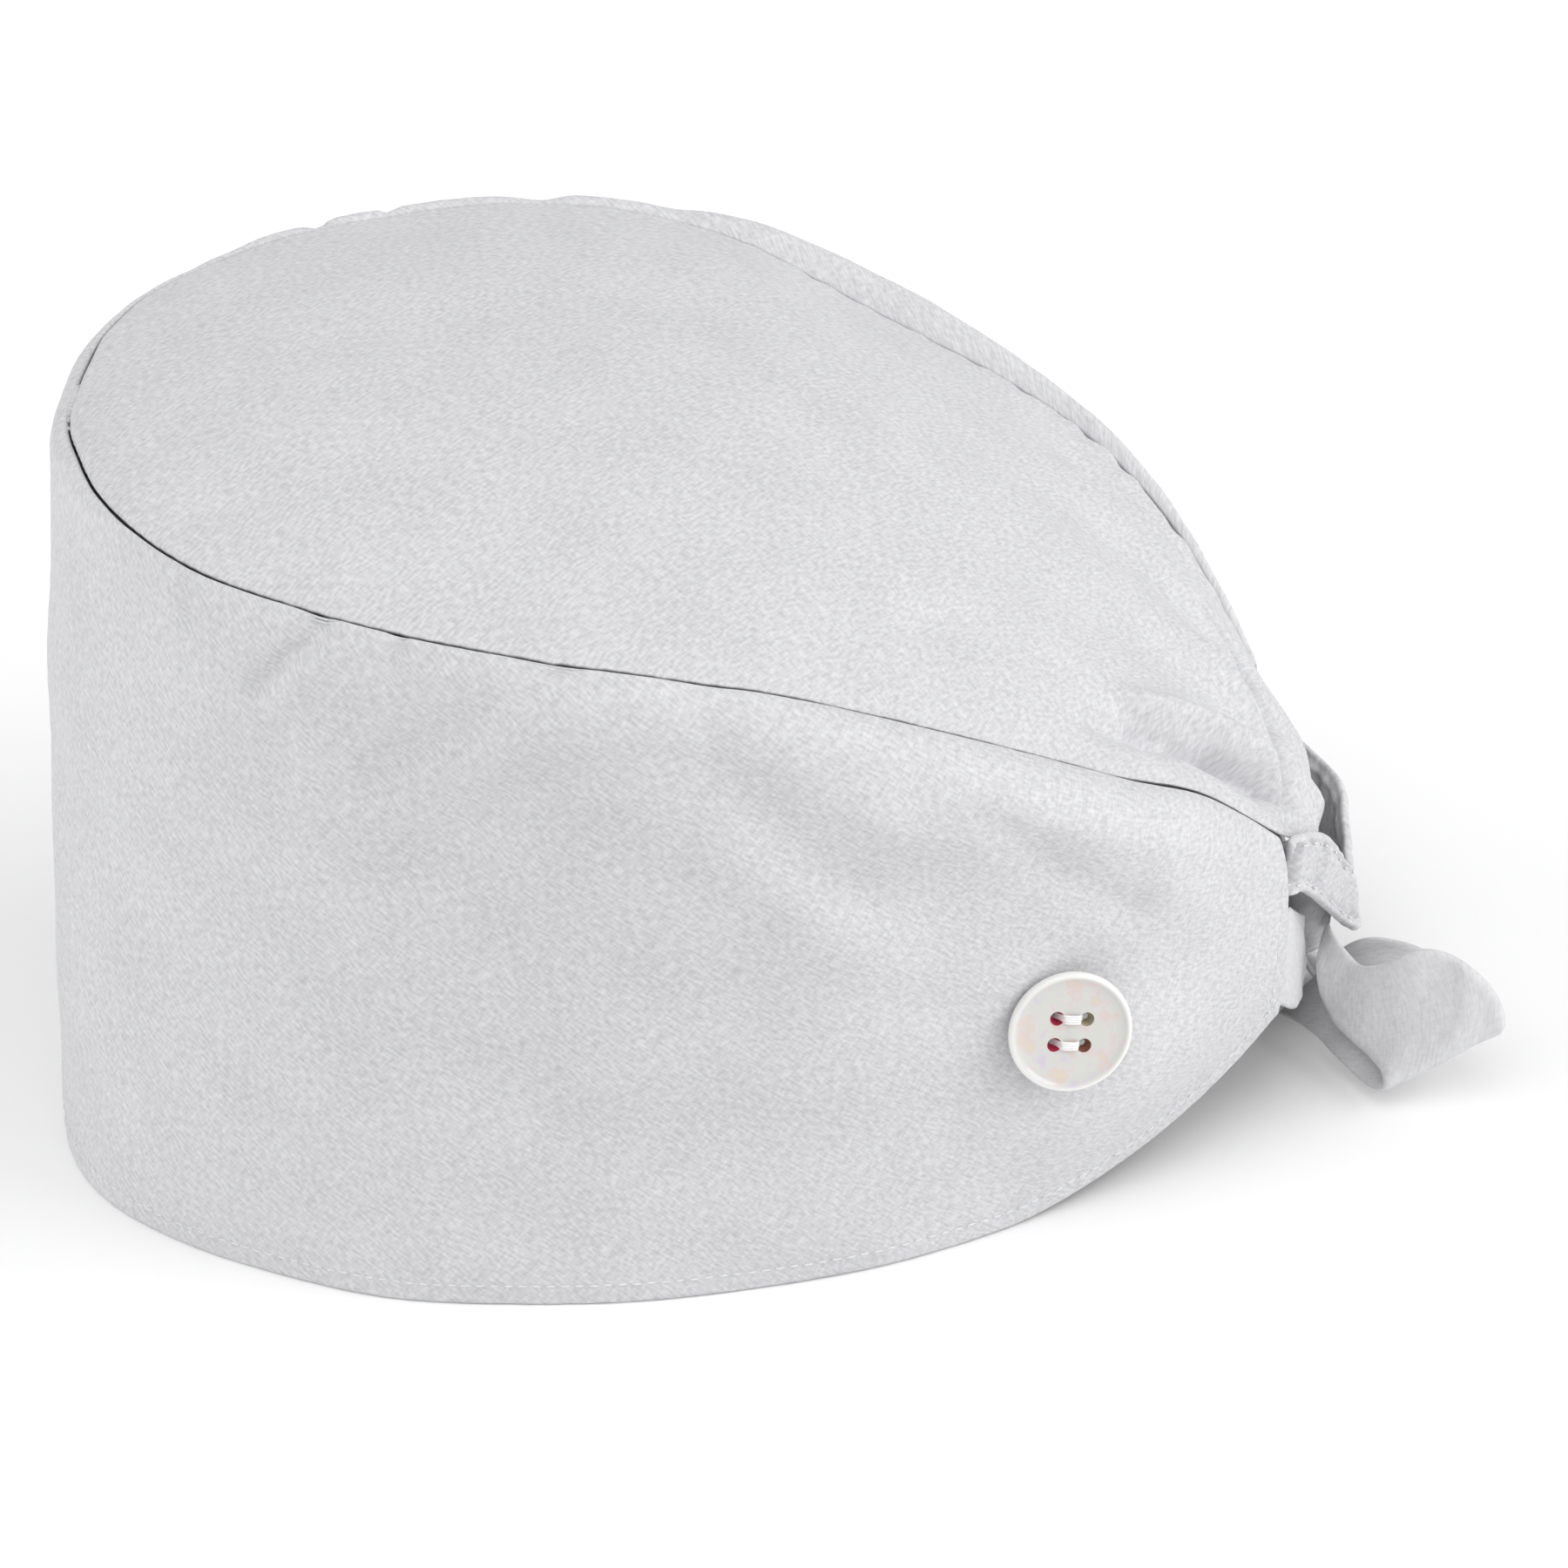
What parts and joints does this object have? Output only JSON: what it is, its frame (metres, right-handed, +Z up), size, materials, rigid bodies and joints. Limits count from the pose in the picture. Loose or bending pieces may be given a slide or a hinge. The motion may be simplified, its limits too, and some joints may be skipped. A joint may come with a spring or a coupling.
{
  "type": "scrub cap",
  "caption": "Cloth scrub cap with a deep side band, a slanting flat crown, a back strap, a ribbon bow at the nape and round side buttons.",
  "frame": {"origin": "on the resting plane of the rim, under the middle of the whole cap", "axes": "+Z up, +Y toward the tied back, -Y toward the forehead, +X toward the wearer's left"},
  "size_m": [0.1802, 0.2668, 0.1565],
  "materials": {
    "cotton_twill": "matte woven twill, pale grey",
    "tie_cloth": "matte woven ribbon cloth, pale grey",
    "button_shell": "glossy mother-of-pearl look"
  },
  "bodies": {
    "root": {"side_band": "cotton_twill", "crown": "cotton_twill", "back_strap": "cotton_twill", "tie_left": "tie_cloth", "tie_right": "tie_cloth", "tie_knot": "tie_cloth", "bow_loop": "tie_cloth", "tail_left": "tie_cloth", "tail_right": "tie_cloth", "button_left": "button_shell", "button_right": "button_shell"}
  },
  "joints": []
}
